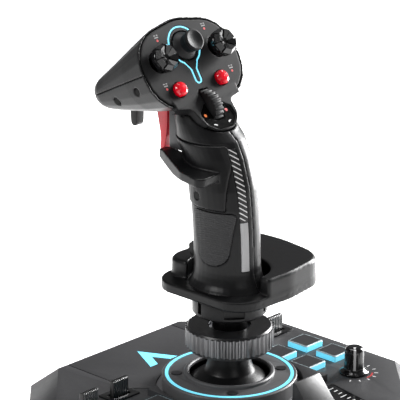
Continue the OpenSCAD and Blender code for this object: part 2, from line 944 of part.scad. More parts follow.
// The head by depth below the thumb face: top, bottom and half width
head_top = [[0, 199.5], [13, 197], [53, 188.6], [56.5, 187], [58.8, 185], [60.3, 182.5], [61, 180]];
head_low = [[0, 145.5], [20, 152.2], [44, 162], [53, 166.2], [56.5, 168.6], [58.8, 171], [60.3, 173.5], [61, 176]];
head_half = [[0, 39.3], [20, 35.7], [53, 28.5], [56.5, 27], [58.8, 25], [60.3, 22.5], [61, 19]];
head_depths = [61, 60.3, 58.8, 56.5, 53, 44, 32, 20, 13, 6, 0];
head_hollow = [57.4, 53, 44, 32, 20, 13, 6, 0];

function head_ring(w, grow) =
    let (top = lookup(w, head_top) + grow)
    let (low = lookup(w, head_low) - grow)
    let (half = lookup(w, head_half) + grow)
    let (tall = top - low)
    let (right = [[half, low, tall * 0.41], [half, top - tall * 0.14, tall * 0.44]])
    at_z(rounded(concat(right, [[0, top, tall * 0.55]], mirrored(right))), -w);

module head_solid(grow) {
    loft([for (w = head_depths) head_ring(w, grow)]);
}

// The hollow head: closed at the nose, and stepped at the thumb face to seat its plate
module head_shell() {
    difference() {
        head_solid(0);
        loft([for (w = head_hollow) head_ring(w, -grip_wall)]);
        loft([for (w = [face_t, -cut]) head_ring(w, -face_rim)]);
    }
}

// One side of the slanting seam between the head's shells, out to a far edge
module split_side(far) {
    side_profile(-60, 60)
        polygon([[171, 10], [171, 0], [178.3, -62], [178.3, -80], [far, -80], [far, 10]]);
}

head_screws = [[13, 165.5], [37, 167.5]];

module head_screw_holes() {
    for (p = head_screws)
        both_sides()
            translate([-60, p.y, -p.x])
                rotate([0, 90, 0])
                    cylinder(r = 2.4, h = 40);
}

module head_upper() {
    color("#232426")
    on_face()
        intersection() {
            head_shell();
            split_side(220);
        }
}

// A wall inside the head beside a lever, to carry its axle
module head_ear(x, y, z) {
    both_sides()
        intersection() {
            box(x, y, z);
            on_face()
                head_solid(-grip_wall + cut);
        }
}

module head_lower() {
    color("#1e1f21")
    difference() {
        union() {
            on_face()
                difference() {
                    intersection() {
                        head_shell();
                        split_side(120);
                    }
                    head_screw_holes();
                    tongue(0.15);
                }
            head_ear([3.8, 6.2], [flip_axle.x - 4, flip_axle.x + 4], [210, flip_axle.y + 4]);
            head_ear([7.2, 9.6], [trigger_axle.x - 5, trigger_axle.x + 5], [210, trigger_axle.y + 4]);
        }
        box([-3.5, 3.5], [69, 80.3], [200, 221]);
        x_bar(flip_axle, pin_r + run, -8, 8);
        box([-6.9, 6.9], [40.2, 54.6], [205, 229]);
        x_bar(trigger_axle, pin_r + run, -12, 12);
        wheel_room();
    }
}

// The lobe below the thumb face that carries the wheel: its outline, drawn in by an amount
function tongue_pts(in) = rounded([
    [-15.3 + in, 126 + in, 14.8 - in], [15.3 - in, 126 + in, 14.8 - in], [15.3 - in, 144.3 + in, 4 + in],
    [26 - in, 146.8 + in, 0.8], [26 - in, 153, 0.8], [-26 + in, 153, 0.8], [-26 + in, 146.8 + in, 0.8],
    [-15.3 + in, 144.3 + in, 4 + in]
]);

// Height of the lobe above the thumb face
tongue_height = [[120, 8], [126, 7.2], [130, 6.2], [136, 4.6], [142, 2.8], [148, 1], [153, 0], [160, 0]];

// What lies under the lobe's surface, lowered by an amount
module under_tongue(drop) {
    side_profile(-40, 40)
        polygon(concat([for (p = tongue_height) [p.x, p.y - drop]],
            [[160, -face_t], [146.5, -face_t], [146.5, -tongue_skirt], [120, -tongue_skirt]]));
}

module tongue(grow) {
    intersection() {
        loft([at_z(tongue_pts(-grow), -tongue_skirt - 1), at_z(tongue_pts(-grow), grow > 0 ? 30 : 1.5)]);
        if (grow > 0)
            side_profile(-40, 40)
                polygon([[110, 30], [160, 30], [160, -face_t], [146.5 + grow, -face_t],
                    [146.5 + grow, -tongue_skirt - grow], [110, -tongue_skirt - grow]]);
        else
            under_tongue(0);
    }
    if (grow == 0)
        intersection() {
            loft([at_z(tongue_pts(0), 1.4), at_z(tongue_pts(0), 4.6), at_z(tongue_pts(0.9), 6.2), at_z(tongue_pts(2.4), 7.3)]);
            under_tongue(0);
        }
}

// The black dish around the foot of the wheel
module wheel_dish() {
    difference() {
        translate([0, 0, -1])
            linear_extrude(12)
                polygon(rounded([[-12.4, 133, 5], [-12.4, 140.5, 1.5], [-5, 146, 2], [5, 146, 2], [12.4, 140.5, 1.5],
                    [12.4, 133, 5], [6, 128.3, 5], [-6, 128.3, 5]]));
        under_tongue(1.1);
    }
}

// A boss under the thumb face that carries a tilting cap
module cap_boss(at, r_in, r_out) {
    translate([at.x, at.y, -cap_pivot - 3])
        difference() {
            cylinder(r = r_out, h = cap_pivot + 3 - face_t + cut);
            translate([0, 0, -1])
                cylinder(r = r_in, h = 12);
            translate([-r_out - 1, 0, 3])
                rotate([0, 90, 0])
                    cylinder(r = small_pin_r + run, h = 2 * r_out + 2);
        }
}

module face_plate() {
    color("#191a1c")
    on_face() {
        difference() {
            union() {
                translate([0, 0, -face_t])
                    linear_extrude(face_t)
                        polygon([for (p = head_ring(face_t, -face_rim - 0.15)) [p.x, p.y]]);
                tongue(0);
            }
            for (x = [-hat_at.x, hat_at.x])
                translate([x, hat_at.y, -10])
                    cylinder(r = 6.6, h = 20);
            translate([thumb_at.x, thumb_at.y, -cap_pivot])
                sphere(r = 10.2);
            for (x = [-button_at.x, button_at.x])
                translate([x, button_at.y, -10])
                    cylinder(r = button_r + 0.3, h = 20);
            translate([0, 0, -1.2])
                linear_extrude(3)
                    face_light_outline(0.05);
            translate([0, wheel_v, -wheel_depth])
                rotate([0, 90, 0]) {
                    cylinder(r = wheel_d / 2 + 0.6, h = wheel_w + 1, center = true);
                    cylinder(r = pin_r + run, h = wheel_w + 5.4, center = true);
                }
            wheel_dish();
        }
        cap_boss([-hat_at.x, hat_at.y], 6.9, 9);
        cap_boss(hat_at, 6.9, 9);
        cap_boss(thumb_at, 10.4, 12.6);
        for (p = [[14, 184], [-14, 184], [0, 163.5]])
            translate([p.x, p.y, -12])
                cylinder(r = 2, h = 12 - face_t + cut);
    }
}

// A keyhole line: a circle around the thumb stick with a narrow tail below it
module keyhole(grow) {
    translate([0, 181.8])
        circle(r = 11.3 + grow);
    translate([0, 160.6])
        circle(r = 2.1 + grow);
    translate([-2.1 - grow, 160.6])
        square([4.2 + 2 * grow, 20]);
    polygon([[-6 - grow, 173], [6 + grow, 173], [2.1 + grow, 167], [-2.1 - grow, 167]]);
}

module face_light_outline(grow) {
    difference() {
        keyhole(0.42 + grow);
        keyhole(-0.42 - grow);
    }
}

module face_light() {
    color("#35c9ea")
    on_face()
        translate([0, 0, -1.15])
            linear_extrude(1.25)
                face_light_outline(0);
}

module grip_screws() {
    color("#77797d") {
        on_face()
            for (p = head_screws)
                both_sides() {
                    x = lookup(p.x, head_half);
                    translate([-x + 1.6, p.y, -p.x])
                        rotate([0, 90, 0])
                            cylinder(r = 2.3, h = 1.6);
                    translate([-x + 2.8, p.y, -p.x])
                        rotate([0, 90, 0])
                            cylinder(r = 1.2, h = 8);
                }
        x_bar([9.5, 175.5], 2.2, -17.5, -16.1);
        x_bar([9.5, 175.5], 1.2, -16.2, -10);
    }
}

module trigger_housing() {
    color("#3b3d40")
    difference() {
        translate([0, 0, 197])
            linear_extrude(30)
                polygon([[-12, 26], [12, 26], [10.6, 37.6], [9, 39.5], [-9, 39.5], [-10.6, 37.6]]);
        handle_solid(0.05);
        intersection() {
            handle_solid(1);
            box([-40, -8.1], [0, 40], [160, 206.2]);
        }
        on_face()
            head_solid(0.1);
    }
}

module grip_board() {
    color("#1f6b3a")
    on_face() {
        box([-20, 20], [161, 186], [-13.6, -12]);
    }
    color("#202020")
    on_face()
        box([-8, 8], [168, 182], [-15.6, -13.5]);
}

module trigger() {
    color("#b3171d") {
        side_profile(-6.5, 6.5)
            polygon([[43.4, 222], [43.9, 225.6], [46, 227.2], [49, 226.2], [52.4, 220], [52, 215.5], [50.4, 208], [49.3, 203],
                [48.9, 198], [49.5, 193.6], [48.7, 192.2], [46.8, 192.3], [45.4, 196], [44.2, 203], [43.6, 212]]);
        x_bar(trigger_axle, pin_r, -9, 9);
    }
}

module flip_lever() {
    color("#1a1b1d") {
        side_profile(-3, 3)
            polygon([[71.7, flip_axle.y + 0.6], [73, flip_axle.y + 2.2], [76, flip_axle.y + 2.2], [77.3, flip_axle.y + 0.6],
                [77.3, 212], [76.7, 202], [75.5, 200.4], [73.2, 200.4], [72, 202], [71.5, 212]]);
        x_bar(flip_axle, pin_r, -6, 6);
    }
}

module pinky_lever() {
    color("#17181a") {
        side_profile(-6, 6)
            polygon([[16.5, 141], [24.5, 141.4], [27, 139], [27, 134.4], [25.4, 132.6], [16.5, 132.6]]);
        x_bar(pinky_axle, 1.25, -8.4, 8.4);
    }
}

// A tilting ring inside a cap's boss: it turns about x, and its cap turns in it about y
module cap_ring(at, pin_end) {
    color("#4a4d51")
    on_face()
        translate([at.x, at.y, -cap_pivot])
            difference() {
                union() {
                    difference() {
                        cylinder(r = 6.2, h = 3, center = true);
                        cylinder(r = 4.5, h = 4, center = true);
                    }
                    for (s = [-1, 1])
                        translate([s * (pin_end + 5) / 2, 0, 0])
                            rotate([0, 90, 0])
                                cylinder(r = small_pin_r, h = pin_end - 5, center = true);
                }
                rotate([90, 0, 0])
                    cylinder(r = small_pin_r + run, h = 20, center = true);
            }
}
module left_hat_ring() cap_ring([-hat_at.x, hat_at.y], 8.6);
module right_hat_ring() cap_ring(hat_at, 8.6);
module thumb_stick_ring() cap_ring(thumb_at, 12.2);

module cap_stem(top) {
    translate([0, 0, -1.6])
        cylinder(r = 3, h = top + 1.6);
    rotate([90, 0, 0])
        cylinder(r = small_pin_r, h = 12, center = true);
}

// A four-way hat: a round cap with a raised rim and notches between its four segments
module hat(at) {
    color("#0f1011")
    on_face()
        translate([at.x, at.y, -cap_pivot])
            difference() {
                union() {
                    cap_stem(8);
                    rotate_extrude()
                        polygon([[0, 7.2], [6.8, 7.2], [7.9, 8.6], [7.9, 11.4], [7, 13.2], [5.6, 14], [3.6, 12.6], [0, 12.2]]);
                }
                for (a = [45, 135])
                    rotate(a)
                        box([-10, 10], [-0.7, 0.7], [12.4, 20]);
            }
}
module left_hat() hat([-hat_at.x, hat_at.y]);
module right_hat() hat(hat_at);

// The thumb stick: a dome that fills its hole, a stem and a dished cap
module thumb_stick() {
    color("#141516")
    on_face()
        translate([thumb_at.x, thumb_at.y, -cap_pivot]) {
            cap_stem(12);
            difference() {
                sphere(r = 9.8);
                sphere(r = 8.4);
                translate([0, 0, -15])
                    cylinder(r = 15, h = 20);
            }
            rotate_extrude()
                polygon([[0, 9], [5.5, 8], [6, 12], [6.6, 13.5], [6.4, 14.8], [5.6, 15.2], [3, 14.2], [0, 13.7]]);
        }
}

module button(x) {
    color("#c01a22")
    on_face()
        translate([x, button_at.y, 0])
            rotate_extrude()
                polygon([[0, -5.2], [button_r + 1, -5.2], [button_r + 1, -face_t - 0.3], [button_r, -face_t - 0.3],
                    [button_r, 1.6], [button_r * 0.9, 2.5], [button_r * 0.6, 3.2], [0, 3.5]]);
}
module left_button() button(-button_at.x);
module right_button() button(button_at.x);

module scroll_wheel() {
    color("#1b1c1e")
    on_face()
        translate([0, wheel_v, -wheel_depth])
            rotate([0, 90, 0]) {
                linear_extrude(wheel_w, center = true)
                    polygon(ridged(wheel_d / 2, 0.8, 24));
                cylinder(r = pin_r, h = wheel_w + 4.8, center = true);
            }
}

top_cover();
bottom_cover();
rubber_feet();
base_screws();
mount_inserts();
usb_socket();
stick_surround();
light_guides();
toggle_frames();
gimbal_frame();
pitch_springs();
main_board();
scale_panels();
knob_pots();
gimbal_ring();
roll_springs();
stick_shaft();
dome_cover();
locking_nut();
grip_foot();
handle_left();
handle_right();
hand_rest();
side_module();
grip_pad();
back_strip();
head_upper();
head_lower();
face_plate();
face_light();
grip_screws();
trigger_housing();
grip_board();
trigger();
flip_lever();
pinky_lever();
left_hat_ring();
left_hat();
right_hat_ring();
right_hat();
thumb_stick_ring();
thumb_stick();
left_button();
right_button();
scroll_wheel();
key_1();
key_2();
key_3();
key_4();
key_5();
key_6();
key_7();
key_8();
toggle_1();
toggle_2();
toggle_3();
toggle_4();
knob_left();
knob_right();
throttle_lever();
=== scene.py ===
"""Looks of the flight joystick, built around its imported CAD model. Metres, +Z up, +Y away from the pilot."""

import json
import math

import bmesh
import bpy
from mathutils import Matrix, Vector


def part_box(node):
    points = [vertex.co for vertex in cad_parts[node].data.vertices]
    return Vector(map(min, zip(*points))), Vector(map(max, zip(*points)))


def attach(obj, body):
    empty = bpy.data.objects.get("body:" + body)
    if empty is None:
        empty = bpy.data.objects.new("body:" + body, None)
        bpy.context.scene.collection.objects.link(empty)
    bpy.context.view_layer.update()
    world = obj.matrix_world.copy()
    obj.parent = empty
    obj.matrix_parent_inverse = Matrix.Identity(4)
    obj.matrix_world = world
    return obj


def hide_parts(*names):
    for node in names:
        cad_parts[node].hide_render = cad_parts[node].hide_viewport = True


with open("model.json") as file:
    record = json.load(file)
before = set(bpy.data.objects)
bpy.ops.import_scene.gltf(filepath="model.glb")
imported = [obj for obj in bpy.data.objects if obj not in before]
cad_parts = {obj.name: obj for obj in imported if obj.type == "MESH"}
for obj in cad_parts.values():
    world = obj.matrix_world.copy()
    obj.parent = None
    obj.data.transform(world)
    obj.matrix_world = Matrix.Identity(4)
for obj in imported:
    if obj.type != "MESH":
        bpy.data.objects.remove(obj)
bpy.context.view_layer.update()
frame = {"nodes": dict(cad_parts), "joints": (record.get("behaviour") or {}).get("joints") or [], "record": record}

MM = 0.001
JOINTS = {j["name"]: j for j in frame["joints"]}


def joint_at(name):
    return Vector(JOINTS[name]["pos_m"])


# Heights and places that the pieces below are set from
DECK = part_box("toggle_frames")[1][2] - 1 * MM
FACE_UP = Vector(JOINTS["left_hat_side"]["axis"]).normalized()
FACE_OUT = -Vector(JOINTS["left_button_press"]["axis"]).normalized()
THUMB = joint_at("thumb_stick_up_down")
CAP_DEPTH = 5 * MM

# The thumb face, in mm: v runs up it, and the lobe under the wheel rises from it towards the handle
THUMB_V = 181.5
LOBE_FOOT = (126, 7.2)
LOBE_BEND = (142, 2.8)
LOBE_SLOPES = (0.275, 0.3)
DISH_DEPTH = 1.1
FACE_INK = (0, 0.05 * MM)
DISH_INK = (-0.05 * MM, 0.12 * MM)
DECK_INK = 0.06 * MM

# The camera that was fitted to the photo
CAMERA_PLACE = (-0.9573, -0.8789, 0.6152)
CAMERA_DOWN = 18.882
CAMERA_TURN = -46.685
CAMERA_LENS = 215.8


def on_face(x, up, out=0.0):
    """A point by its offset from the thumb stick's centre on the thumb face."""
    return Vector((x, 0, 0)) + THUMB + FACE_UP * up + FACE_OUT * (out + CAP_DEPTH)


# ---- Materials ----

class Nodes:
    """Short calls for building one material's node tree."""

    def __init__(self, name):
        self.mat = bpy.data.materials.new(name)
        self.mat.use_nodes = True
        self.tree = self.mat.node_tree
        self.shader = self.tree.nodes["Principled BSDF"]
        coords = self.tree.nodes.new("ShaderNodeTexCoord")
        self.place = coords.outputs["Object"]

    def add(self, kind, inputs=None, **settings):
        node = self.tree.nodes.new(kind)
        for key, value in settings.items():
            setattr(node, key, value)
        for key, value in (inputs or {}).items():
            self.put(value, node.inputs[key])
        return node

    def put(self, value, socket):
        if isinstance(value, bpy.types.NodeSocket):
            self.tree.links.new(value, socket)
        else:
            socket.default_value = value

    def math(self, operation, a, b=0.0, c=0.0):
        node = self.add("ShaderNodeMath", operation=operation)
        for value, socket in zip((a, b, c), node.inputs):
            self.put(value, socket)
        return node.outputs[0]

    def noise(self, size, detail=2.0):
        inputs = {"Vector": self.place, "Scale": 1 / size, "Detail": detail}
        return self.add("ShaderNodeTexNoise", inputs).outputs["Fac"]

    def axes(self):
        return self.add("ShaderNodeSeparateXYZ", {"Vector": self.place}).outputs

    def along(self, axis, start):
        """How far each point lies from a start, measured along an axis."""
        dot = self.add("ShaderNodeVectorMath", {0: self.place, 1: tuple(axis)}, operation="DOT_PRODUCT")
        return self.math("SUBTRACT", dot.outputs["Value"], start.dot(axis))

    def between(self, value, low, high):
        """1 where value lies between low and high, else 0."""
        above = self.math("GREATER_THAN", value, low)
        return self.math("MULTIPLY", above, self.math("LESS_THAN", value, high))

    def mix(self, factor, a, b):
        node = self.add("ShaderNodeMix", data_type="RGBA")
        for value, key in ((factor, 0), (a, 6), (b, 7)):
            self.put(value, node.inputs[key])
        return node.outputs[2]

    def spread(self, value, low, high):
        return self.add("ShaderNodeMapRange", {"Value": value, "To Min": low, "To Max": high}).outputs[0]

    def bump(self, height, strength, distance=0.1 * MM):
        node = self.add("ShaderNodeBump", {"Height": height, "Strength": strength, "Distance": distance})
        self.put(node.outputs[0], self.shader.inputs["Normal"])

    def set(self, **values):
        for key, value in values.items():
            self.put(value, self.shader.inputs[key.replace("_", " ")])


def rgba(colour):
    return (*colour, 1.0)


def varied(n, colour, amount=0.12, size=18 * MM):
    """The colour with soft lighter and darker patches, as moulded parts have."""
    dark = rgba([c * (1 - amount) for c in colour])
    light = rgba([c * (1 + amount) for c in colour])
    return n.mix(n.noise(size, 3.0), dark, light)


def plastic(name, colour, rough, grain=0.35 * MM, depth=0.25, coat=0.0, metal=0.0, gleam=0.4):
    n = Nodes(name)
    fine = n.noise(grain, 3.0)
    n.set(Base_Color=varied(n, colour), Roughness=n.spread(n.noise(4 * MM), rough - 0.05, rough + 0.05))
    n.set(Specular_IOR_Level=gleam)
    n.set(Metallic=metal, Coat_Weight=coat, Coat_Roughness=0.12)
    n.bump(fine, depth)
    return n.mat


def glow(name, colour, strength):
    n = Nodes(name)
    soft = n.spread(n.noise(6 * MM), 0.92, 1.08)
    tint = n.mix(soft, rgba([c * 0.9 for c in colour]), rgba(colour))
    n.set(Base_Color=tint, Roughness=0.35, Emission_Color=tint, Emission_Strength=strength)
    return n.mat


CYAN = (0.16, 0.62, 0.80)
BLACK = plastic("black_shell", (0.006, 0.006, 0.0065), 0.34, gleam=0.2)
SOFT = plastic("soft_black", (0.006, 0.006, 0.0065), 0.5, 0.5 * MM, 0.4, gleam=0.22)
DECK_MAT = plastic("deck_grey", (0.034, 0.034, 0.036), 0.45)
RING_MAT = plastic("surround_grey", (0.085, 0.085, 0.088), 0.4, 0.3 * MM, 0.2)
LOWER = plastic("lower_cover", (0.012, 0.012, 0.013), 0.5, 0.6 * MM, 0.5)
GLOSS = plastic("gloss_black", (0.004, 0.004, 0.0045), 0.16, 0.8 * MM, 0.05, coat=0.3)
FACETS = plastic("facet_black", (0.006, 0.006, 0.0065), 0.2, 0.8 * MM, 0.05, coat=0.3)
HOUSING = plastic("housing_grey", (0.04, 0.04, 0.042), 0.4)
RED = plastic("trigger_red", (0.50, 0.010, 0.022), 0.3, 0.5 * MM, 0.08, coat=0.2)
RED_GLOSS = plastic("button_red", (0.68, 0.002, 0.014), 0.14, 0.9 * MM, 0.03, coat=0.6)
# The grip screws are painted near-black as the shade deep in their counterbores
SCREW_PAINTED_SHADE = plastic("screw_painted_shade", (0.003, 0.003, 0.003), 0.4, 0.15 * MM, 0.2, gleam=0.15)
STEEL = plastic("screw_steel", (0.08, 0.08, 0.085), 0.32, 0.15 * MM, 0.2, metal=0.8)
SPRING = plastic("spring_steel", (0.55, 0.56, 0.58), 0.25, 0.15 * MM, 0.1, metal=1.0)
ZINC = plastic("die_cast_zinc", (0.36, 0.37, 0.39), 0.45, 0.3 * MM, 0.35, metal=1.0)
BRASS = plastic("brass_insert", (0.62, 0.45, 0.16), 0.32, 0.2 * MM, 0.15, metal=1.0)
BOARD = plastic("board_green", (0.01, 0.09, 0.035), 0.35, 0.5 * MM, 0.15, coat=0.4)
POT = plastic("pot_blue", (0.03, 0.09, 0.28), 0.4)
WHITE = plastic("print_white", (0.62, 0.62, 0.62), 0.5, 0.1 * MM, 0.05)
PRINT_GREY = plastic("print_grey", (0.22, 0.22, 0.22), 0.5, 0.1 * MM, 0.05)
PRINT_RED = plastic("print_red", (0.36, 0.02, 0.02), 0.5, 0.1 * MM, 0.05)
# Printed dots given a painted glow, so that they shine on their own though they are print
ORANGE_PAINTED_GLOW = glow("dot_orange_painted_glow", (0.75, 0.20, 0.06), 0.35)
DOT_RED_PAINTED_GLOW = glow("dot_red_painted_glow", (0.50, 0.04, 0.04), 0.3)
LIGHT = glow("cyan_light", CYAN, 0.85)


def face_material():
    """Satin black, and gloss black in the dish around the foot of the wheel."""
    n = Nodes("face_black")
    centre = on_face(0, 0)
    up = n.along(FACE_UP, centre)
    out = n.along(FACE_OUT, centre)
    lobe = n.math("SUBTRACT", n.math("MULTIPLY", up, -0.292), 9.4 * MM)
    sunk = n.math("LESS_THAN", out, n.math("SUBTRACT", lobe, 0.35 * MM))
    dish = n.math("MULTIPLY", n.between(up, -53 * MM, -35.2 * MM), sunk)
    dish = n.math("MULTIPLY", dish, n.between(n.axes()[0], -12.6 * MM, 12.6 * MM))
    n.set(Base_Color=n.mix(dish, varied(n, (0.008, 0.008, 0.0085)), rgba((0.002, 0.002, 0.002))))
    n.set(Roughness=n.spread(dish, 0.5, 0.15), Specular_IOR_Level=0.12)
    n.bump(n.noise(0.3 * MM, 3.0), 0.3)
    return n.mat


def ribbed_material():
    """Gloss black with upright ribs across the toggles, and painted shade darkening the grooves between the ribs.
    """
    n = Nodes("toggle_ribs_shaded_grooves")
    pitch = 1.5 * MM
    ribs = n.math("SINE", n.math("MULTIPLY", n.axes()[0], 2 * math.pi / pitch))
    crest = n.math("GREATER_THAN", ribs, 0.1)
    # Painted shade: the grooves between the crests are painted near-black, and the crests keep the plain black
    n.set(Base_Color=n.mix(crest, rgba((0.002, 0.002, 0.002)), varied(n, (0.010, 0.010, 0.011))))
    n.set(Roughness=n.spread(n.noise(2 * MM), 0.28, 0.4))
    n.bump(ribs, 0.8, 0.3 * MM)
    return n.mat


def throttle_material():
    """A thumb face painted dark as shade, on a drum painted lighter as a reflection of the floor."""
    n = Nodes("throttle_painted_shade_and_reflection")
    upper = n.math("GREATER_THAN", n.axes()[2], DECK + 5.2 * MM)
    # Painted shade on the thumb face above this height, and a painted floor reflection on the drum below it
    n.set(Base_Color=n.mix(upper, varied(n, (0.13, 0.13, 0.135)), varied(n, (0.020, 0.020, 0.021))))
    n.set(Roughness=n.spread(n.noise(3 * MM), 0.36, 0.46))
    n.bump(n.noise(0.35 * MM, 3.0), 0.25)
    return n.mat


def nut_metal():
    """Upright brushing on the knurled band, and black above and below it."""
    n = Nodes("nut_metal")
    x, y, z = n.axes()
    scales = (("X", x, 900), ("Y", y, 900), ("Z", z, 60))
    stretched = {axis: n.math("MULTIPLY", value, scale) for axis, value, scale in scales}
    streak = n.add("ShaderNodeCombineXYZ", stretched).outputs[0]
    brushed = n.add("ShaderNodeTexNoise", {"Vector": streak, "Scale": 1.0, "Detail": 4.0}).outputs["Fac"]
    low, high = (v[2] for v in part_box("locking_nut"))
    band = n.between(z, low + 1.9 * MM, high - 1.2 * MM)
    metal = n.mix(brushed, rgba((0.10, 0.10, 0.103)), rgba((0.26, 0.26, 0.266)))
    n.set(Base_Color=n.mix(band, rgba((0.012, 0.012, 0.013)), metal))
    n.set(Metallic=n.math("MULTIPLY", band, 0.85), Roughness=n.spread(brushed, 0.24, 0.38))
    n.bump(brushed, 0.25)
    return n.mat


def key_material(i):
    """A black top with a fine pale outline, and sides that glow."""
    n = Nodes(f"key_lit_{i}")
    x, y, z = n.axes()
    low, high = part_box(f"key_{i}")
    middle = [(low[k] + high[k]) / 2 for k in (0, 1)]
    half = 7.75 * MM
    rim_width = 0.75 * MM
    top_depth = 0.55 * MM
    off = [n.math("ABSOLUTE", n.math("SUBTRACT", axis, m)) for axis, m in zip((x, y), middle)]
    edge = n.math("GREATER_THAN", n.math("MAXIMUM", *off), half - rim_width)
    top = n.math("GREATER_THAN", z, high[2] - top_depth)
    dark = varied(n, (0.020, 0.020, 0.022))
    rim = n.mix(edge, dark, rgba((0.42, 0.52, 0.55)))
    n.set(Base_Color=n.mix(top, rgba(CYAN), rim))
    n.set(Emission_Color=rgba(CYAN), Emission_Strength=n.math("MULTIPLY", n.math("SUBTRACT", 1.0, top), 0.75))
    n.set(Roughness=n.spread(n.noise(3 * MM), 0.34, 0.44))
    n.bump(n.noise(0.4 * MM), 0.2)
    return n.mat


def strip_material():
    """Slanted white bars above, and a plain grey plate below."""
    n = Nodes("back_strip")
    x, y, z = n.axes()
    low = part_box("back_strip")[0][2]
    split = low + 29 * MM
    pitch = 3.0 * MM
    slope = 0.75
    share = 0.24
    slanted = n.math("ADD", z, n.math("MULTIPLY", x, slope))
    stripe = n.math("LESS_THAN", n.math("FRACT", n.math("DIVIDE", slanted, pitch)), share)
    stripes = n.math("MULTIPLY", stripe, n.math("GREATER_THAN", z, split + 1.2 * MM))
    plate = n.math("LESS_THAN", z, split)
    striped = n.mix(stripes, varied(n, (0.007, 0.007, 0.0075)), rgba((0.62, 0.62, 0.62)))
    n.set(Base_Color=n.mix(plate, striped, varied(n, (0.34, 0.34, 0.345), 0.05)))
    n.set(Roughness=n.spread(n.noise(3 * MM), 0.3, 0.42))
    n.bump(n.noise(0.3 * MM), 0.15)
    return n.mat


def pad_material():
    """Soft rubber with fine raised lines across it."""
    n = Nodes("grip_rubber")
    x, y, z = n.axes()
    pitch = 1.1 * MM
    tilted = n.math("ADD", z, n.math("MULTIPLY", y, 0.35))
    lines = n.math("SINE", n.math("MULTIPLY", tilted, 2 * math.pi / pitch))
    n.set(Base_Color=varied(n, (0.012, 0.012, 0.013)), Roughness=n.spread(n.noise(2 * MM), 0.55, 0.7))
    n.bump(n.math("ADD", lines, n.noise(0.3 * MM)), 0.35, 0.2 * MM)
    return n.mat


# ---- Mesh helpers ----

def take_on(obj, body, mat, replaced=()):
    """Gives an object its material and body, and hides the CAD nodes that it stands for, if any."""
    obj.data.materials.clear()
    obj.data.materials.append(mat)
    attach(obj, body)
    if replaced:
        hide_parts(*replaced)
    return obj


def body_of(node):
    return next(b for b, nodes in frame["record"]["behaviour"]["bodies"].items() if node in nodes)


def apply_modifiers(obj):
    bpy.ops.object.select_all(action="DESELECT")
    bpy.context.view_layer.objects.active = obj
    obj.select_set(True)
    for modifier in list(obj.modifiers):
        bpy.ops.object.modifier_apply(modifier=modifier.name)


def copy_of(node, name):
    """A welded copy of a CAD node, without its stored normals."""
    source = frame["nodes"][node]
    obj = bpy.data.objects.new(name, source.data.copy())
    bpy.context.collection.objects.link(obj)
    mesh = bmesh.new()
    mesh.from_mesh(obj.data)
    bmesh.ops.remove_doubles(mesh, verts=mesh.verts, dist=0.002 * MM)
    mesh.to_mesh(obj.data)
    mesh.free()
    if obj.data.has_custom_normals:
        bpy.context.view_layer.objects.active = obj
        bpy.ops.mesh.customdata_custom_splitnormals_clear()
    return obj


def moulded(node, mat, voxel=0.6 * MM, passes=4):
    """Stands for a CAD shell with the same shape and soft moulded edges."""
    obj = copy_of(node, node + "_moulded")
    remesh = obj.modifiers.new("remesh", "REMESH")
    remesh.mode = "VOXEL"
    remesh.voxel_size = voxel
    smooth = obj.modifiers.new("smooth", "SMOOTH")
    smooth.factor = 0.5
    smooth.iterations = passes
    apply_modifiers(obj)
    for face in obj.data.polygons:
        face.use_smooth = True
    return take_on(obj, body_of(node), mat, [node])


def bevelled(node, mat, width=0.3 * MM, segments=2, angle=32):
    """Stands for a CAD part with the same shape and small rounded edges."""
    obj = copy_of(node, node + "_bevelled")
    dissolve = bmesh.new()
    dissolve.from_mesh(obj.data)
    flat = math.radians(0.5)
    bmesh.ops.dissolve_limit(dissolve, angle_limit=flat, verts=dissolve.verts, edges=dissolve.edges)
    dissolve.to_mesh(obj.data)
    dissolve.free()
    bevel = obj.modifiers.new("bevel", "BEVEL")
    bevel.width = width
    bevel.segments = segments
    bevel.limit_method = "ANGLE"
    bevel.angle_limit = math.radians(angle)
    apply_modifiers(obj)
    obj.data.shade_smooth()
    obj.data.set_sharp_from_angle(angle=math.radians(40))
    return take_on(obj, body_of(node), mat, [node])


def dress(mat, *nodes):
    """Gives CAD nodes a material and leaves their meshes as they are."""
    for node in nodes:
        data = frame["nodes"][node].data
        data.materials.clear()
        data.materials.append(mat)


def mesh_piece(name, verts, faces, body, mat, smooth_angle=35):
    """A new piece from its points and faces, riding a body."""
    data = bpy.data.meshes.new(name)
    data.from_pydata([tuple(v) for v in verts], [], faces)
    obj = bpy.data.objects.new(name, data)
    bpy.context.collection.objects.link(obj)
    mesh = bmesh.new()
    mesh.from_mesh(data)
    bmesh.ops.recalc_face_normals(mesh, faces=mesh.faces)
    mesh.to_mesh(data)
    mesh.free()
    data.shade_smooth()
    data.set_sharp_from_angle(angle=math.radians(smooth_angle))
    return take_on(obj, body, mat)


def prism(name, outline, place, low, high, body, mat):
    """A closed solid between two heights: place(x, y, height) gives each point."""
    n = len(outline)
    verts = [place(x, y, h) for h in (low, high) for x, y in outline]
    sides = [[i, (i + 1) % n, n + (i + 1) % n, n + i] for i in range(n)]
    return mesh_piece(name, verts, [list(range(n))[::-1], list(range(n, 2 * n))] + sides, body, mat)


def bar(centre, length, width, turn=0.0):
    """The outline of a bar about a centre, its length along x before it is turned."""
    c, s = math.cos(turn), math.sin(turn)
    corners = [(i * length / 2, j * width / 2) for i, j in ((-1, -1), (1, -1), (1, 1), (-1, 1))]
    return [(centre[0] + c * x - s * y, centre[1] + s * x + c * y) for x, y in corners]


def disc(centre, radius, sides=20):
    """The outline of a disc about a centre."""
    turns = [2 * math.pi * i / sides for i in range(sides)]
    return [(centre[0] + radius * math.cos(turn), centre[1] + radius * math.sin(turn)) for turn in turns]


def on_deck(x, y, height):
    """A point by its height above the deck."""
    return Vector((x, y, DECK + height))


# ---- Camera, light and floor ----

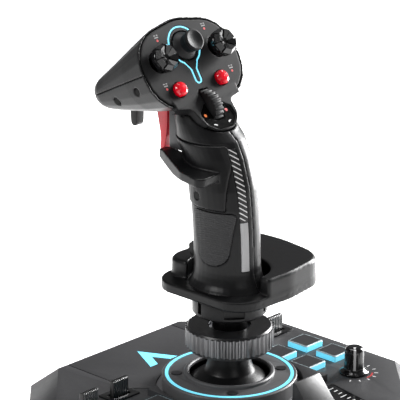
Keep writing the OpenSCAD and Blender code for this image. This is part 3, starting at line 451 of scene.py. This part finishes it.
def make_camera():
    data = bpy.data.cameras.new("camera")
    data.lens = CAMERA_LENS
    data.sensor_width = 36
    data.clip_start = 0.05
    camera = bpy.data.objects.new("camera", data)
    bpy.context.collection.objects.link(camera)
    camera.location = CAMERA_PLACE
    camera.rotation_euler = (math.radians(90 - CAMERA_DOWN), 0, math.radians(CAMERA_TURN))
    bpy.context.scene.camera = camera


def area_light(name, place, target, size, power):
    data = bpy.data.lights.new(name, "AREA")
    data.shape = "RECTANGLE"
    data.size, data.size_y = size
    data.energy = power
    light = bpy.data.objects.new(name, data)
    bpy.context.collection.objects.link(light)
    light.location = place
    light.rotation_euler = (Vector(target) - Vector(place)).to_track_quat("-Z", "Y").to_euler()


def make_studio():
    area_light("key_light", (-1.1, 0.35, 1.0), (0, 0, 0.18), (0.5, 0.5), 9)
    area_light("right_strip", (1.05, -0.12, 0.42), (0, 0, 0.2), (0.4, 0.9), 42)
    area_light("top_light", (0.2, 0.3, 1.4), (0, 0, 0.1), (0.8, 0.8), 12)
    area_light("front_fill", (-0.5, -1.3, 0.7), (0, 0, 0.15), (0.5, 0.5), 2)
    world = bpy.data.worlds.new("studio")
    world.use_nodes = True
    background = world.node_tree.nodes["Background"]
    background.inputs["Color"].default_value = (1, 1, 1, 1)
    background.inputs["Strength"].default_value = 0.16
    bpy.context.scene.world = world
    bpy.context.scene.view_settings.view_transform = "Standard"
    n = Nodes("floor")
    pale = varied(n, (0.86, 0.86, 0.86), 0.01, 0.2)
    n.set(Base_Color=pale, Roughness=0.8, Emission_Color=pale, Emission_Strength=0.85)
    n.bump(n.noise(2 * MM), 0.02)
    data = bpy.data.meshes.new("floor")
    reach = 4
    corners = [(-reach, -reach, 0), (reach, -reach, 0), (reach, reach, 0), (-reach, reach, 0)]
    data.from_pydata(corners, [], [[0, 1, 2, 3]])
    floor = bpy.data.objects.new("floor", data)
    data.materials.append(n.mat)
    bpy.context.collection.objects.link(floor)


# ---- The joystick's pieces ----

def dress_base():
    bevelled("top_cover", DECK_MAT, 0.5 * MM)
    dress(LOWER, "bottom_cover")
    dress(SOFT, "rubber_feet")
    dress(STEEL, "base_screws", "usb_socket")
    dress(BRASS, "mount_inserts")
    bevelled("stick_surround", RING_MAT, 0.35 * MM)
    bevelled("toggle_frames", GLOSS, 0.25 * MM)
    dress(LIGHT, "light_guides", "face_light")
    dress(ZINC, "gimbal_frame", "gimbal_ring", "stick_shaft")
    dress(SPRING, "pitch_springs", "roll_springs")
    dress(BOARD, "main_board", "grip_board")
    dress(POT, "knob_pots")
    dress(GLOSS, "scale_panels")
    bevelled("dome_cover", BLACK, 0.3 * MM)
    for i in range(1, 9):
        dress(key_material(i), f"key_{i}")
    for side in ("left", "right"):
        knob_print(side)
        panel_print(side)


def knob_print(side):
    """The arc and ticks printed on the deck around a knob."""
    low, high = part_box(f"knob_{side}")
    middle = ((low[0] + high[0]) / 2, (low[1] + high[1]) / 2)

    def polar(radius, angle):
        turn = math.radians(angle)
        return (middle[0] + radius * math.cos(turn), middle[1] + radius * math.sin(turn))

    reach = (high[0] - low[0]) / 2
    inner, outer, ticks = (reach + gap * MM for gap in (1.6, 2.6, 4.4))
    steps = [-95 + 5 * i for i in range(10)]
    arc = [polar(inner, a) for a in steps] + [polar(outer, a) for a in reversed(steps)]
    prism(f"knob_arc_{side}", arc, on_deck, 0, DECK_INK, "base", PRINT_RED)
    for i, angle in enumerate((-150, -125, -100, -75, -50, -25, 0)):
        tick = bar(polar(ticks, angle), 2.2 * MM, 0.7 * MM, math.radians(angle))
        prism(f"knob_tick_{side}_{i}", tick, on_deck, 0, DECK_INK, "base", WHITE)


def panel_print(side):
    """The scale printed on a black panel beside the throttle: every third mark is long."""
    edge, back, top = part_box("scale_panels")[1]
    top -= DECK
    for i in range(8):
        inset, length = (6.4, 5.2) if i % 3 == 0 else (5.4, 3.0)
        x = (edge - inset * MM - i * 0.75 * MM) * (-1 if side == "left" else 1)
        outline = bar((x, back - (4 + 4.0 * i) * MM), length * MM, 0.7 * MM)
        prism(f"scale_{side}_{i}", outline, on_deck, top, top + DECK_INK, "base", WHITE)


def hat_petals(node):
    """Eight faceted segments around a hat's rim, every other one a little higher."""
    centre = joint_at(node + "_side")
    verts, faces = [], []
    section = [(1.7, 11.2), (8.1, 10.0), (8.3, 12.6), (6.4, 15.2), (2.0, 12.7)]
    step, gap = 45, 3.5
    m = len(section)
    for k in range(8):
        start = len(verts)
        lift = 0.5 if k % 2 else 0.0
        for angle in (k * step + gap, (k + 1) * step - gap):
            turn = math.radians(angle)
            for radius, height in section:
                across, up = radius * math.cos(turn) * MM, radius * math.sin(turn) * MM
                raised = (height + (lift if height > 12 else 0)) * MM
                verts.append(centre + Vector((across, 0, 0)) + FACE_UP * up + FACE_OUT * raised)
        faces.append([start + i for i in range(m)])
        faces.append([start + m + i for i in reversed(range(m))])
        faces += [[start + i, start + m + i, start + m + (i + 1) % m, start + (i + 1) % m] for i in range(m)]
    mesh_piece(node + "_petals", verts, faces, node, FACETS, 5)


def in_dish(x, up, height):
    """A point by its height above the floor of the dish around the wheel."""
    v = up / MM + THUMB_V
    (start, surface), slope = (LOBE_FOOT, LOBE_SLOPES[0]) if v < LOBE_BEND[0] else (LOBE_BEND, LOBE_SLOPES[1])
    return on_face(x, up, height + (surface - (v - start) * slope - DISH_DEPTH) * MM)


def face_print():
    """Plain marks beside the hats and buttons, and the dots in the wheel's dish."""
    for i, (x, v) in enumerate(((-18.3, 190.6), (20.2, 190.4), (-26, 162.3), (28, 162.3))):
        for j, (dx, dv, length) in enumerate(((-1.0, 0.8, 1.2), (1.0, 0.8, 1.2), (0, -0.5, 3.0))):
            outline = bar(((x + dx) * MM, (v + dv - THUMB_V) * MM), length * MM, 0.7 * MM)
            prism(f"face_mark_{i}_{j}", outline, on_face, *FACE_INK, "grip", PRINT_GREY)
        # The red dot under each mark is print with a painted glow
        dot = disc((x * MM, (v - 2.4 - THUMB_V) * MM), 0.75 * MM)
        prism(f"face_dot_{i}", dot, on_face, *FACE_INK, "grip", DOT_RED_PAINTED_GLOW)
    # The dish dots are print with a painted glow
    for name, x, mat in (("orange", -8.8, ORANGE_PAINTED_GLOW), ("red", 8.4, DOT_RED_PAINTED_GLOW)):
        dot = disc((x * MM, (138.8 - THUMB_V) * MM), 1.0 * MM)
        prism(f"dish_dot_{name}", dot, in_dish, *DISH_INK, "grip", mat)
    marks = ((-8.6, 134.6, -35), (-5.8, 131.9, -25), (5.8, 131.9, 25), (8.6, 134.6, 35))
    for i, (x, v, turn) in enumerate(marks):
        outline = bar((x * MM, (v - THUMB_V) * MM), 2.6 * MM, 0.9 * MM, math.radians(turn))
        prism(f"dish_mark_{i}", outline, in_dish, *DISH_INK, "grip", WHITE)


def dress_grip():
    dress(nut_metal(), "locking_nut")
    bevelled("grip_foot", BLACK, 0.35 * MM)
    for node in ("handle_left", "handle_right", "head_upper", "head_lower"):
        moulded(node, BLACK)
    moulded("hand_rest", BLACK, 0.7 * MM, 6)
    moulded("side_module", BLACK, 0.5 * MM, 6)
    moulded("face_plate", face_material(), 0.4 * MM, 4)
    bevelled("trigger_housing", HOUSING, 0.4 * MM)
    bevelled("trigger", RED, 0.7 * MM, 3)
    bevelled("flip_lever", BLACK, 0.5 * MM, 3)
    bevelled("pinky_lever", SOFT, 0.5 * MM, 3)
    dress(pad_material(), "grip_pad")
    dress(strip_material(), "back_strip")
    # Near-black grip screws: painted shade in their counterbores
    dress(SCREW_PAINTED_SHADE, "grip_screws")
    dress(HOUSING, "left_hat_ring", "right_hat_ring", "thumb_stick_ring")
    bevelled("thumb_stick", SOFT, 0.3 * MM, 3, 25)
    dress(RED_GLOSS, "left_button", "right_button")
    dress(GLOSS, "left_hat", "right_hat")
    hat_petals("left_hat")
    hat_petals("right_hat")
    bevelled("scroll_wheel", SOFT, 0.2 * MM)
    face_print()


def knob_pointer(side):
    """A white line down a knob's side and across its top."""
    node = f"knob_{side}"
    low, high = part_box(node)
    middle = Vector(((low[0] + high[0]) / 2, (low[1] + high[1]) / 2, 0))
    angle = math.radians(222.6)
    along = Vector((math.cos(angle), math.sin(angle), 0))
    across = Vector((-along.y, along.x, 0)) * (0.7 * MM)
    # Radius, and height from the knob's top, in mm
    profile = [(5.2, -13), (6.35, -13), (6.0, -1.6), (5.3, -0.2), (1.5, 0.15), (1.5, -0.5), (4.4, -1.2)]
    line = [middle + along * (r * MM) + Vector((0, 0, high[2] + z * MM)) for r, z in profile]
    verts = [point + across * turn for turn in (-1, 1) for point in line]
    m = len(profile)
    faces = [list(range(m)), list(range(2 * m - 1, m - 1, -1))]
    faces += [[i, m + i, m + (i + 1) % m, (i + 1) % m] for i in range(m)]
    mesh_piece(f"{node}_pointer", verts, faces, node, WHITE)


def dress_controls():
    ribs = ribbed_material()
    for i in range(1, 5):
        bevelled(f"toggle_{i}", ribs, 0.25 * MM)
    for side in ("left", "right"):
        bevelled(f"knob_{side}", GLOSS, 0.3 * MM)
        knob_pointer(side)
    bevelled("throttle_lever", throttle_material(), 0.4 * MM)


make_camera()
make_studio()
dress_base()
dress_grip()
dress_controls()
